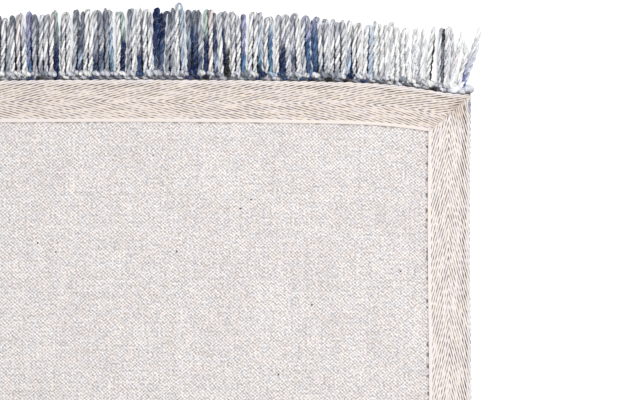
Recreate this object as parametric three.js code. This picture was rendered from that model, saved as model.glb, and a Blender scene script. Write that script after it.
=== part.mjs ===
// A small wool rug lying on the floor with its back up: a thick wool face below, a cotton canvas
// backing, a binding of four mitred cotton tapes, and a fringe of wool loops at both ends.
// Millimetres, +Z up. The origin is on the floor under the rug's middle, +Y towards one fringed end
// (north) and +X towards the side on the right (east).

import * as THREE from 'three';

// Driving sizes
const RUG_WIDTH = 600;
const RUG_LENGTH = 900; // from the longest loops of one fringe to the longest of the other
const FRINGE_REACH = 70; // the longest loop, past the tape's outer edge
const WOOL_THICKNESS = 8;
const CANVAS_THICKNESS = 1;
const TAPE_THICKNESS = 1.2;
const TAPE_WIDTH = 40;
const PIECE_GAP = 0.3; // between pieces that are sewn together

// The two ends and the two sides, as directions along Y and X
const NORTH = 1;
const SOUTH = -1;
const EAST = 1;
const WEST = -1;

// The straight cut of the cloth, before it is laid down
const HALF_WIDTH = RUG_WIDTH / 2;
const HALF_BODY = RUG_LENGTH / 2 - FRINGE_REACH; // to the outer edge of an end tape
const TAPE_INSET = 0.8; // the side tapes stop this far inside the wool
const CANVAS_TURN_IN = 6; // the canvas ends this far inside the rug's edge, under the tape
const CANVAS_BOTTOM = WOOL_THICKNESS + PIECE_GAP;
const TAPE_BOTTOM = CANVAS_BOTTOM + CANVAS_THICKNESS + PIECE_GAP;

// Points along an edge are close together near the corners, where the cloth bends most
const CORNER_ZONE = 130;
const CORNER_STEP = 10;
const MIDDLE_STEP = 70;

// How the cloth lies: each end edge leans towards its corners and sinks at them, and the sides
// sway a little
const CORNERS = [
  { xSide: EAST, ySide: NORTH, sinks: 10.8, leans: 3.8 },
  { xSide: WEST, ySide: NORTH, sinks: 5, leans: 2 },
  { xSide: WEST, ySide: SOUTH, sinks: 6, leans: 3 },
  { xSide: EAST, ySide: SOUTH, sinks: 4, leans: 1.5 },
];
const SINK_SPREAD = 58; // along the end
const LEAN_SPREAD = 190;
const CORNER_FADE = 150; // into the rug
const SWAY = 0.7;
const SWAY_START = 36; // from the north end
const SWAY_LENGTH = HALF_BODY; // so that neither end is moved

// The tape is drawn in just below the north-east corner, where its mitre is folded
const PINCH = { depth: 2.6, below: 11.5, length: 7.5, width: 12 };

// Wool face: the turns of its thick weft make lumps along both sides
const WEFT_TURN = 18;
const TURN_HEIGHT = 0.9;
const WOOL_EDGE = [
  { z: 0, inset: 2.2 },
  { z: WOOL_THICKNESS * 0.5, inset: 0 },
  { z: WOOL_THICKNESS, inset: 1.6 },
];

// Fringe: loops that leave a narrow heading, whose inner edge is tucked under the end tape
const LOOP_PITCH = 5.2;
const LOOP_COUNT = Math.round(RUG_WIDTH / LOOP_PITCH);
const HEADING_TUCK = 6; // under the tape
const HEADING_SHOWS = 8; // past the tape's outer edge
const BEAD_HEIGHT = 1.4; // how far each loop's root bulges out of the heading
const BEAD_SHARE = 0.72; // of the pitch
const SHORTEST_REACH = 55;
const SWELL_LENGTH = 520; // along the end, from long loops to long loops
const LOOP_SHORTFALL = 2.5; // at most, of one loop below its neighbours
const CORNER_SPLAY = 13; // the last loops lean out over the rug's side
const SPLAY_REACH = 16;
const LOOP_WOBBLE = 0.3;
const LOOP_RINGS = [
  { along: 0.16, width: 3.9, top: 2.8, height: 5.6 },
  { along: 0.6, width: 4, top: 2.8, height: 5.2 },
  { along: 1, width: 2.2, top: 1.2, height: 3 },
];

// Colours
const WOOL_GREY = 0xb4bac6;
const CANVAS_CREAM = 0xe3dedc;
const TAPE_CREAM = 0xded3cc;
const FRINGE_BLUE_GREY = 0xaab3c4;

function sway(fromNorth) {
  return SWAY * Math.sin((2 * Math.PI * (fromNorth - SWAY_START)) / SWAY_LENGTH);
}

// Where a point of the straight cut comes to lie, in plan.
function lay(x, y) {
  const fromNorth = Math.min(Math.max(HALF_BODY - y, 0), 2 * HALF_BODY);
  const swayed = x - sway(fromNorth) + sway(0);
  let laid = y;
  for (const { xSide, ySide, sinks, leans } of CORNERS) {
    const fromSide = Math.max(HALF_WIDTH - xSide * x, 0);
    const fromEnd = Math.max(HALF_BODY - ySide * y, 0);
    const sunk = sinks * Math.exp(-((fromSide / SINK_SPREAD) ** 2));
    const leaning = leans * Math.exp(-((fromSide / LEAN_SPREAD) ** 2));
    laid -= ySide * (sunk + leaning) * Math.exp(-((fromEnd / CORNER_FADE) ** 2));
  }
  return new THREE.Vector2(swayed, laid);
}

// Numbers from -1 to 1 that look uneven but are the same every time.
function uneven(place, kind) {
  const scattered = Math.sin(place * 12.9898 + kind * 78.233) * 43758.5453;
  return 2 * (scattered - Math.floor(scattered)) - 1;
}

// Places from one to the other, both included, about a step apart.
function places(from, to, step) {
  const count = Math.max(1, Math.round(Math.abs(to - from) / step));
  return Array.from({ length: count + 1 }, (_, i) => from + ((to - from) * i) / count);
}

// Places along an edge from -half to half.
function edgePlaces(half) {
  return [
    ...places(-half, CORNER_ZONE - half, CORNER_STEP),
    ...places(CORNER_ZONE - half, half - CORNER_ZONE, MIDDLE_STEP).slice(1),
    ...places(half - CORNER_ZONE, half, CORNER_STEP).slice(1),
  ];
}

function bufferGeometry(positions, faces) {
  const geometry = new THREE.BufferGeometry();
  geometry.setAttribute('position', new THREE.Float32BufferAttribute(positions, 3));
  geometry.setIndex(faces);
  return geometry;
}

// A closed solid from outlines of the same number of points, one above the other, anticlockwise.
function solidFromRings(rings) {
  const around = rings[0].points.length;
  const positions = rings.flatMap(({ points, z }) => points.flatMap((p) => [p.x, p.y, z]));
  const faces = [];
  for (let ring = 0; ring + 1 < rings.length; ring += 1) {
    for (let i = 0; i < around; i += 1) {
      const here = ring * around + i;
      const next = ring * around + ((i + 1) % around);
      faces.push(here, next, next + around, here, next + around, here + around);
    }
  }
  const topStart = (rings.length - 1) * around;
  for (const [a, b, c] of THREE.ShapeUtils.triangulateShape(rings[0].points, [])) {
    faces.push(a, c, b);
  }
  for (const [a, b, c] of THREE.ShapeUtils.triangulateShape(rings.at(-1).points, [])) {
    faces.push(topStart + a, topStart + b, topStart + c);
  }
  return bufferGeometry(positions, faces);
}

// A level sheet with that outline.
function sheet(points, bottom, thickness) {
  return solidFromRings([
    { points, z: bottom },
    { points, z: bottom + thickness },
  ]);
}

// The outline of a piece of cloth as it lies, from its four edges, anticlockwise from the
// south-west corner. Each edge leaves out its last point, which the next one begins with.
function outlineOf(south, east, north, west) {
  return [south, east, north, west].flatMap((edge) => edge.slice(0, -1));
}

// The wool face is a slab with rounded edges. Its sides are lumpy where the weft turns back.
function woolFace() {
  const halfLength = HALF_BODY - HEADING_TUCK - PIECE_GAP;
  const turns = places(-halfLength, halfLength, WEFT_TURN / 2);
  const outline = (inset) => {
    const halfWidth = HALF_WIDTH - TURN_HEIGHT - inset;
    const ends = edgePlaces(halfWidth);
    const side = (xSide) =>
      turns.map((y, i) => {
        const lump = i % 2 ? TURN_HEIGHT * (0.6 + 0.4 * uneven(i, xSide)) : 0;
        return lay(xSide * (halfWidth + lump), y);
      });
    const end = (y) => ends.map((x) => lay(x, y));
    return outlineOf(end(-halfLength), side(EAST), end(halfLength).reverse(), side(WEST).reverse());
  };
  return solidFromRings(WOOL_EDGE.map(({ z, inset }) => ({ points: outline(inset), z })));
}

function backingCanvas() {
  const halfWidth = HALF_WIDTH - CANVAS_TURN_IN;
  const halfLength = HALF_BODY - CANVAS_TURN_IN;
  const end = (y) => edgePlaces(halfWidth).map((x) => lay(x, y));
  const side = (x) => edgePlaces(halfLength).map((y) => lay(x, y));
  const outline = outlineOf(
    end(-halfLength),
    side(halfWidth),
    end(halfLength).reverse(),
    side(-halfWidth).reverse(),
  );
  return sheet(outline, CANVAS_BOTTOM, CANVAS_THICKNESS);
}

// Where a point of a tape comes to lie. Near the north-east corner it is drawn in from the side.
function layTape(x, y) {
  const below = HALF_BODY - y - PINCH.below;
  const fromSide = HALF_WIDTH - x;
  const drawnIn = Math.exp(-((below / PINCH.length) ** 2) - (fromSide / PINCH.width) ** 2);
  return lay(x - PINCH.depth * drawnIn, y);
}

// One tape, mitred at both ends. Its outer edge reaches from -half to half, and place gives the
// laid point that is so far along the tape and so far in from its outer edge.
function mitredTape(half, place, turnsRound) {
  const outer = half - PIECE_GAP * Math.SQRT1_2;
  const outside = edgePlaces(outer).map((along) => place(along, 0));
  const inside = edgePlaces(outer - TAPE_WIDTH).map((along) => place(along, TAPE_WIDTH));
  const points = [...outside, ...inside.reverse()];
  return sheet(turnsRound ? points.reverse() : points, TAPE_BOTTOM, TAPE_THICKNESS);
}

function endTape(ySide) {
  const place = (along, inwards) => layTape(along, ySide * (HALF_BODY - inwards));
  return mitredTape(HALF_WIDTH - TAPE_INSET, place, ySide === NORTH);
}

function sideTape(xSide) {
  const edge = HALF_WIDTH - TAPE_INSET;
  const place = (along, inwards) => layTape(xSide * (edge - inwards), along);
  return mitredTape(HALF_BODY, place, xSide === WEST);
}

// How far a loop of that number reaches past the tape's outer edge.
function reachOf(index, x, ySide) {
  const swell = (1 + Math.cos((2 * Math.PI * x) / SWELL_LENGTH)) / 2;
  const even = SHORTEST_REACH + (FRINGE_REACH - SHORTEST_REACH) * swell;
  return even - (LOOP_SHORTFALL * (1 + uneven(index, ySide))) / 2;
}

// The four corners of each ring of a loop as it lies on the floor, first the two below.
function loopCorners(index, ySide) {
  const x = -HALF_WIDTH + ((index + 0.5) * RUG_WIDTH) / LOOP_COUNT;
  const root = lay(x, ySide * HALF_BODY);
  const fromSide = HALF_WIDTH - Math.abs(x);
  const lean = Math.sign(x) * CORNER_SPLAY * Math.exp(-fromSide / SPLAY_REACH);
  const steadiness = 1 - Math.exp(-fromSide / SPLAY_REACH);
  const length = reachOf(index, x, ySide) - HEADING_SHOWS;
  return LOOP_RINGS.flatMap(({ along, width, top, height }, ring) => {
    const wobble = LOOP_WOBBLE * steadiness * uneven(index, ring + 3 * ySide);
    const middle = root.x + lean * along ** 1.4 + wobble;
    const y = root.y + ySide * (HEADING_SHOWS + length * along);
    return [
      [middle - width / 2, y, 0],
      [middle + width / 2, y, 0],
      [middle + top / 2, y, height],
      [middle - top / 2, y, height],
    ];
  });
}

// One fringe: a heading with a bulge for each loop's root, and the loops that leave the bulges.
function fringe(ySide) {
  const pitch = RUG_WIDTH / LOOP_COUNT;
  const beadEdge = (pitch * (1 - BEAD_SHARE)) / 2;
  const notchY = ySide * (HALF_BODY + HEADING_SHOWS - BEAD_HEIGHT);
  const frontY = ySide * (HALF_BODY + HEADING_SHOWS);
  const front = [];
  for (let index = 0; index < LOOP_COUNT; index += 1) {
    const from = -HALF_WIDTH + index * pitch;
    front.push(lay(from, notchY), lay(from + beadEdge, frontY));
    front.push(lay(from + pitch - beadEdge, frontY));
  }
  front.push(lay(HALF_WIDTH, notchY));
  const back = edgePlaces(HALF_WIDTH).map((x) => lay(x, ySide * (HALF_BODY - HEADING_TUCK)));
  const outline = [...front, ...back.reverse()];
  const around = outline.length;

  // Everything is numbered as on a north end. On a south end the faces are turned round.
  const positions = [0, WOOL_THICKNESS].flatMap((z) => outline.flatMap((p) => [p.x, p.y, z]));
  const faces = [];
  for (const [a, b, c] of THREE.ShapeUtils.triangulateShape(outline, [])) {
    const turned = ySide === NORTH ? [a, c, b] : [a, b, c];
    faces.push(...turned, ...turned.map((corner) => corner + around).reverse());
  }
  for (let i = 0; i < around; i += 1) {
    const next = (i + 1) % around;
    const isRoot = i < 3 * LOOP_COUNT && i % 3 === 1;
    if (!isRoot) faces.push(i, next + around, next, i, i + around, next + around);
  }
  for (let index = 0; index < LOOP_COUNT; index += 1) {
    const left = 3 * index + 1;
    let ring = [left, left + 1, left + 1 + around, left + around];
    const corners = loopCorners(index, ySide);
    for (let corner = 0; corner < corners.length; corner += 4) {
      const start = positions.length / 3;
      const next = [start, start + 1, start + 2, start + 3];
      positions.push(...corners.slice(corner, corner + 4).flat());
      ring.forEach((here, side) => {
        const beside = (side + 1) % 4;
        faces.push(here, next[beside], ring[beside], here, next[side], next[beside]);
      });
      ring = next;
    }
    faces.push(ring[0], ring[2], ring[1], ring[0], ring[3], ring[2]);
  }
  return bufferGeometry(positions, ySide === NORTH ? faces : faces.reverse());
}

function piece(name, geometry, color, roughness) {
  const shaded = geometry.toNonIndexed();
  shaded.computeVertexNormals();
  const material = new THREE.MeshStandardMaterial({ color, roughness, metalness: 0 });
  const mesh = new THREE.Mesh(shaded, material);
  mesh.name = name;
  return mesh;
}

const rug = new THREE.Group();
rug.name = 'wool_rug';
rug.add(
  piece('wool_face', woolFace(), WOOL_GREY, 0.95),
  piece('backing_canvas', backingCanvas(), CANVAS_CREAM, 0.9),
  piece('tape_north', endTape(NORTH), TAPE_CREAM, 0.85),
  piece('tape_south', endTape(SOUTH), TAPE_CREAM, 0.85),
  piece('tape_east', sideTape(EAST), TAPE_CREAM, 0.85),
  piece('tape_west', sideTape(WEST), TAPE_CREAM, 0.85),
  piece('fringe_north', fringe(NORTH), FRINGE_BLUE_GREY, 0.95),
  piece('fringe_south', fringe(SOUTH), FRINGE_BLUE_GREY, 0.95),
);

export default rug;
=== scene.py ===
"""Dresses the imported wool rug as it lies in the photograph: on the floor, back up, seen from above.

The rug is a woven wool face under a cotton canvas backing, bound with four mitred herringbone tapes,
with a fringe of twisted wool loops at both ends. Everything is in metres, +Z up, in the frame of the
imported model.
"""

from __future__ import annotations

import logging
import math
import random
from collections.abc import Iterator, Mapping, Sequence
from contextlib import contextmanager
from dataclasses import dataclass, field
from enum import Enum

import bpy
import numpy as np
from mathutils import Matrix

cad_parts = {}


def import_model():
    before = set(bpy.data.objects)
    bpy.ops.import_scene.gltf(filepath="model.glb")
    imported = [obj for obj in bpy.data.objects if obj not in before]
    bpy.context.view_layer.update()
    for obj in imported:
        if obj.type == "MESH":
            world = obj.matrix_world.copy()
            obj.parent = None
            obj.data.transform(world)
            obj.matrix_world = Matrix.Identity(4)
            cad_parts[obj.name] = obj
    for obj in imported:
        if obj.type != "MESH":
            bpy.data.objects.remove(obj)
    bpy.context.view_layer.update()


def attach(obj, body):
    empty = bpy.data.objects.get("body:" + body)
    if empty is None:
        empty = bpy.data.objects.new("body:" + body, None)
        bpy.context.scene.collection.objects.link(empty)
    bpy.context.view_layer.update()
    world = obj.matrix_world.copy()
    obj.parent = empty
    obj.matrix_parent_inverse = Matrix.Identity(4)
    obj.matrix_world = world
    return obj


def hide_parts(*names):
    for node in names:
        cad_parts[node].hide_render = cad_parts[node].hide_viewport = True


Array = np.ndarray
Colour = tuple[float, float, float]
Faces = list[tuple[int, ...]]
Material = bpy.types.Material
Piece = bpy.types.Object
Range = tuple[float, ...]
Socket = bpy.types.NodeSocket

LOG = logging.getLogger("rug")
MM = 0.001
BODY = "root"
KNOT_NUMBERS, LUMP_NUMBERS, CORNER_NUMBERS = 500, 800, 900


class End(Enum):
    """The two fringed ends of the rug, as directions along Y."""

    NORTH = 1
    SOUTH = -1


class Side(Enum):
    """The two long sides of the rug, as directions along X."""

    EAST = 1
    WEST = -1


def dyed(red: int, green: int, blue: int) -> Colour:
    """Turns a colour of a paint chart into the linear colour that a shader takes.

    Args:
        red: Red from 0 to 255.
        green: Green from 0 to 255.
        blue: Blue from 0 to 255.

    Returns:
        The linear colour.
    """

    def linear(channel: int) -> float:
        share = channel / 255
        return share / 12.92 if share <= 0.04045 else ((share + 0.055) / 1.055) ** 2.4

    return linear(red), linear(green), linear(blue)


class Dye(Enum):
    """The dyes of the fringe yarn."""

    WHITE = dyed(246, 246, 247)
    PEARL = dyed(213, 215, 223)
    GREY = dyed(144, 150, 163)
    CHARCOAL = dyed(42, 42, 48)
    NAVY = dyed(18, 42, 92)
    INDIGO = dyed(54, 58, 116)
    CORNFLOWER = dyed(96, 112, 180)
    STEEL = dyed(80, 112, 160)
    SLATE = dyed(66, 90, 132)
    ICE = dyed(182, 201, 222)
    TEAL = dyed(102, 144, 170)
    LAVENDER = dyed(166, 168, 203)
    MINT = dyed(188, 207, 200)
    BLUSH = dyed(232, 219, 220)


def hash_noise(place: Array, kind: float) -> Array:
    """Gives numbers from -1 to 1 that look uneven but are the same every time.

    Args:
        place: What the numbers belong to.
        kind: Which of several unlike series they come from.

    Returns:
        One number for each place.
    """
    scattered = np.sin(place * 12.9898 + kind * 78.233) * 43758.5453
    return 2 * (scattered - np.floor(scattered)) - 1


def soft_step(low: float, high: float, value: Array) -> Array:
    """Rises smoothly from 0 at low to 1 at high."""
    share = np.clip((value - low) / (high - low), 0, 1)
    return share * share * (3 - 2 * share)


def bump(*shares: Array) -> Array:
    """Is 1 where every share is 0, and falls off smoothly as any of them grows."""
    return np.exp(-sum(share**2 for share in shares))


def turned(x: Array, y: Array, angle: Array | float) -> tuple[Array, Array]:
    """Turns places round the origin, from +X towards +Y."""
    cos, sin = np.cos(angle), np.sin(angle)
    return x * cos - y * sin, x * sin + y * cos


def repeated(faces: Faces, size: int, count: int) -> Faces:
    """Gives the faces of many copies of a shape, whose points follow each other.

    Args:
        faces: The faces of one copy.
        size: How many points a copy has.
        count: How many copies there are.

    Returns:
        The faces of all the copies.
    """
    starts = range(0, size * count, size)
    return [tuple(corner + start for corner in face) for start in starts for face in faces]


def in_metres(*millimetres: float) -> tuple[float, ...]:
    """Turns a row of millimetres into metres."""
    return tuple(number * MM for number in millimetres)


@dataclass(frozen=True)
class SunkCorner:
    """How far a corner of the rug lies inside its straight cut, and how far its end leans."""

    side: Side
    end: End
    sinks: float
    leans: float


@dataclass(frozen=True)
class ClothLay:
    """How the straight cut of the rug lies on the floor."""

    half_width: float = 300 * MM
    half_body: float = 380 * MM
    corners: tuple[SunkCorner, ...] = (
        SunkCorner(Side.EAST, End.NORTH, 10.8 * MM, 3.8 * MM),
        SunkCorner(Side.WEST, End.NORTH, 5 * MM, 2 * MM),
        SunkCorner(Side.WEST, End.SOUTH, 6 * MM, 3 * MM),
        SunkCorner(Side.EAST, End.SOUTH, 4 * MM, 1.5 * MM),
    )
    sink_spread: float = 58 * MM
    lean_spread: float = 190 * MM
    corner_fade: float = 150 * MM
    sway: float = 0.7 * MM
    sway_start: float = 36 * MM
    pinch_depth: float = 2.6 * MM
    pinch_below: float = 11.5 * MM
    pinch_length: float = 7.5 * MM
    pinch_width: float = 12 * MM

    def place(self, x: Array, y: Array) -> tuple[Array, Array]:
        """Gives where points of the straight cut come to lie.

        Args:
            x: Their places across the rug.
            y: Their places along the rug.

        Returns:
            The places across and along, as laid.
        """
        from_north = np.clip(self.half_body - y, 0, 2 * self.half_body)
        wave = 2 * math.pi / self.half_body
        swayed = np.sin(wave * (from_north - self.sway_start)) + math.sin(wave * self.sway_start)
        laid_x = x - self.sway * swayed
        laid_y = y.copy()
        for corner in self.corners:
            from_side = np.maximum(self.half_width - corner.side.value * x, 0)
            from_end = np.maximum(self.half_body - corner.end.value * y, 0)
            sunk = corner.sinks * bump(from_side / self.sink_spread)
            sunk += corner.leans * bump(from_side / self.lean_spread)
            laid_y -= corner.end.value * sunk * bump(from_end / self.corner_fade)
        return laid_x, laid_y

    def place_tape(self, x: Array, y: Array) -> tuple[Array, Array]:
        """Gives where points of the tapes come to lie, drawn in just below the north-east corner.

        Args:
            x: Their places across the rug.
            y: Their places along the rug.

        Returns:
            The places across and along, as laid.
        """
        below = self.half_body - y - self.pinch_below
        inside = self.half_width - x
        drawn = bump(below / self.pinch_length, inside / self.pinch_width)
        return self.place(x - self.pinch_depth * drawn, y)


class Bench:
    """The operations that every piece is made with."""

    @staticmethod
    def clear() -> None:
        """Leaves nothing selected."""
        bpy.ops.object.select_all(action="DESELECT")

    @staticmethod
    def pick(piece: Piece) -> None:
        """Selects one piece alone and makes it the active one."""
        Bench.clear()
        piece.select_set(True)
        bpy.context.view_layer.objects.active = piece

    @staticmethod
    @contextmanager
    def editing(piece: Piece) -> Iterator[None]:
        """Opens a piece in edit mode with all of it selected, and closes it afterwards."""
        Bench.pick(piece)
        bpy.ops.object.mode_set(mode="EDIT")
        bpy.ops.mesh.select_all(action="SELECT")
        yield
        bpy.ops.object.mode_set(mode="OBJECT")

    @staticmethod
    def grid(name: str, columns: int, rows: int, width: float, length: float) -> Piece:
        """Adds a level rectangle of faces around the origin.

        Args:
            name: The piece's name.
            columns: How many faces it has across.
            rows: How many faces it has along.
            width: Its size across.
            length: Its size along.

        Returns:
            The new piece.
        """
        Bench.clear()
        bpy.ops.mesh.primitive_grid_add(x_subdivisions=columns, y_subdivisions=rows, size=1)
        piece = bpy.context.object
        piece.name = piece.data.name = name
        with Bench.editing(piece):
            bpy.ops.transform.resize(value=(width, length, 1))
        return piece

    @staticmethod
    def take_apart(piece: Piece) -> tuple[Array, Faces]:
        """Gives the points and the faces of a modelled shape, and removes it."""
        shape = Bench.points(piece), [tuple(face.vertices) for face in piece.data.polygons]
        bpy.data.objects.remove(piece)
        return shape

    @staticmethod
    def joined(name: str, points: Array, faces: Faces) -> Piece:
        """Adds a piece of many copies of a modelled shape.

        Args:
            name: The piece's name.
            points: The points of all the copies.
            faces: Their faces.

        Returns:
            The piece.
        """
        mesh = bpy.data.meshes.new(name)
        mesh.from_pydata(points.tolist(), [], faces)
        piece = bpy.data.objects.new(name, mesh)
        bpy.context.scene.collection.objects.link(piece)
        return piece

    @staticmethod
    def points(piece: Piece) -> Array:
        """Reads a piece's points, a row of three numbers for each."""
        flat = np.empty(len(piece.data.vertices) * 3, np.float32)
        piece.data.vertices.foreach_get("co", flat)
        return flat.reshape(-1, 3).astype(float)

    @staticmethod
    def move(piece: Piece, points: Array) -> None:
        """Gives a piece new points, in the same order."""
        piece.data.vertices.foreach_set("co", points.astype(np.float32).ravel())
        piece.data.update()

    @staticmethod
    def map_points(piece: Piece, name: str, places: Array) -> None:
        """Gives a piece a UV map with one place for each of its points.

        Args:
            piece: The piece.
            name: The map's name.
            places: A row of two numbers for each point.
        """
        corners = np.empty(len(piece.data.loops), np.int32)
        piece.data.loops.foreach_get("vertex_index", corners)
        layer = piece.data.uv_layers.get(name) or piece.data.uv_layers.new(name=name)
        layer.data.foreach_set("uv", places[corners].astype(np.float32).ravel())

    @staticmethod
    def tell(piece: Piece, name: str, kind: str, values: Array) -> None:
        """Gives each point of a piece a value that its material reads.

        Args:
            piece: The piece.
            name: The attribute's name.
            kind: FLOAT, FLOAT_VECTOR or FLOAT_COLOR.
            values: One value, vector or colour for each point.
        """
        attribute = piece.data.attributes.new(name, kind, "POINT")
        key = {"FLOAT": "value", "FLOAT_VECTOR": "vector", "FLOAT_COLOR": "color"}[kind]
        attribute.data.foreach_set(key, values.astype(np.float32).ravel())

    @staticmethod
    def dye(piece: Piece, colours: Array, fibres: Array) -> None:
        """Gives a piece of yarn the values that its finish reads.

        Args:
            piece: The piece.
            colours: The linear colour of each point.
            fibres: Three numbers for each point, which its flecks follow.
        """
        opaque = np.column_stack([colours, np.ones(len(colours))])
        Bench.tell(piece, "dye", "FLOAT_COLOR", opaque)
        Bench.tell(piece, "fibre", "FLOAT_VECTOR", fibres)

    @staticmethod
    def thicken(piece: Piece, thickness: float, upwards: bool) -> None:
        """Makes a closed solid of an open sheet.

        Args:
            piece: The sheet.
            thickness: How thick it gets.
            upwards: Whether the solid lies above the sheet, or else below it.
        """
        modifier = piece.modifiers.new("thickness", "SOLIDIFY")
        modifier.thickness = thickness
        modifier.offset = 1 if upwards else -1
        Bench.pick(piece)
        bpy.ops.object.modifier_apply(modifier=modifier.name)

    @staticmethod
    def cut(piece: Piece, point: Sequence[float], normal: Sequence[float], drop: bool) -> None:
        """Cuts a piece with a plane.

        Args:
            piece: The piece.
            point: A point of the plane.
            normal: The plane's normal.
            drop: Whether to take away the side that the normal points to.
        """
        with Bench.editing(piece):
            bpy.ops.mesh.bisect(plane_co=point, plane_no=normal, clear_outer=drop)

    @staticmethod
    def smooth(piece: Piece, degrees: float) -> None:
        """Shades a piece smooth, except across edges sharper than that."""
        Bench.pick(piece)
        bpy.ops.object.shade_smooth_by_angle(angle=math.radians(degrees))

    @staticmethod
    def hand_over(piece: Piece, material: Material, slot: str, nodes: Sequence[str] = ()) -> Piece:
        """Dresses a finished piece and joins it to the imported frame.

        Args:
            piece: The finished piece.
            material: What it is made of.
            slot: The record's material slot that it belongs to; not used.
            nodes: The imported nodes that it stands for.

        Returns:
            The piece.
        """
        piece.data.materials.clear()
        piece.data.materials.append(material)
        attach(piece, BODY)
        if nodes:
            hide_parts(*nodes)
        LOG.info("%s: %d faces", piece.name, len(piece.data.polygons))
        return piece


class Amount:
    """A number that varies over a surface. Sums and products of it add Math nodes."""

    def __init__(self, recipe: Recipe, socket: Socket) -> None:
        """Wraps the socket that the number comes out of."""
        self.recipe = recipe
        self.socket = socket

    def math(self, operation: str, *others: Amount | float) -> Amount:
        """Adds a Math node whose first input is this number."""
        inputs = dict(enumerate((self, *others)))
        return self.recipe.amount("ShaderNodeMath", {"operation": operation}, inputs)

    def __add__(self, other: Amount | float) -> Amount:
        """Adds a number."""
        return self.math("ADD", other)

    __radd__ = __add__

    def __sub__(self, other: Amount | float) -> Amount:
        """Takes a number away."""
        return self.math("SUBTRACT", other)

    def __rsub__(self, other: float) -> Amount:
        """Takes this away from a number."""
        return self.math("MULTIPLY", -1.0).math("ADD", other)

    def __mul__(self, other: Amount | float) -> Amount:
        """Multiplies by a number."""
        return self.math("MULTIPLY", other)

    __rmul__ = __mul__

    def __pow__(self, power: float) -> Amount:
        """Raises this to a power."""
        return self.math("POWER", power)

    def step(self, low: float, high: float) -> Amount:
        """Rises smoothly from 0 where this is low to 1 where it is high.

        Args:
            low: Where it starts to rise.
            high: Where it has risen.

        Returns:
            The number from 0 to 1.
        """
        inputs = {"Value": self, "From Min": low, "From Max": high}
        settings = {"interpolation_type": "SMOOTHSTEP"}
        return self.recipe.amount("ShaderNodeMapRange", settings, inputs)


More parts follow.
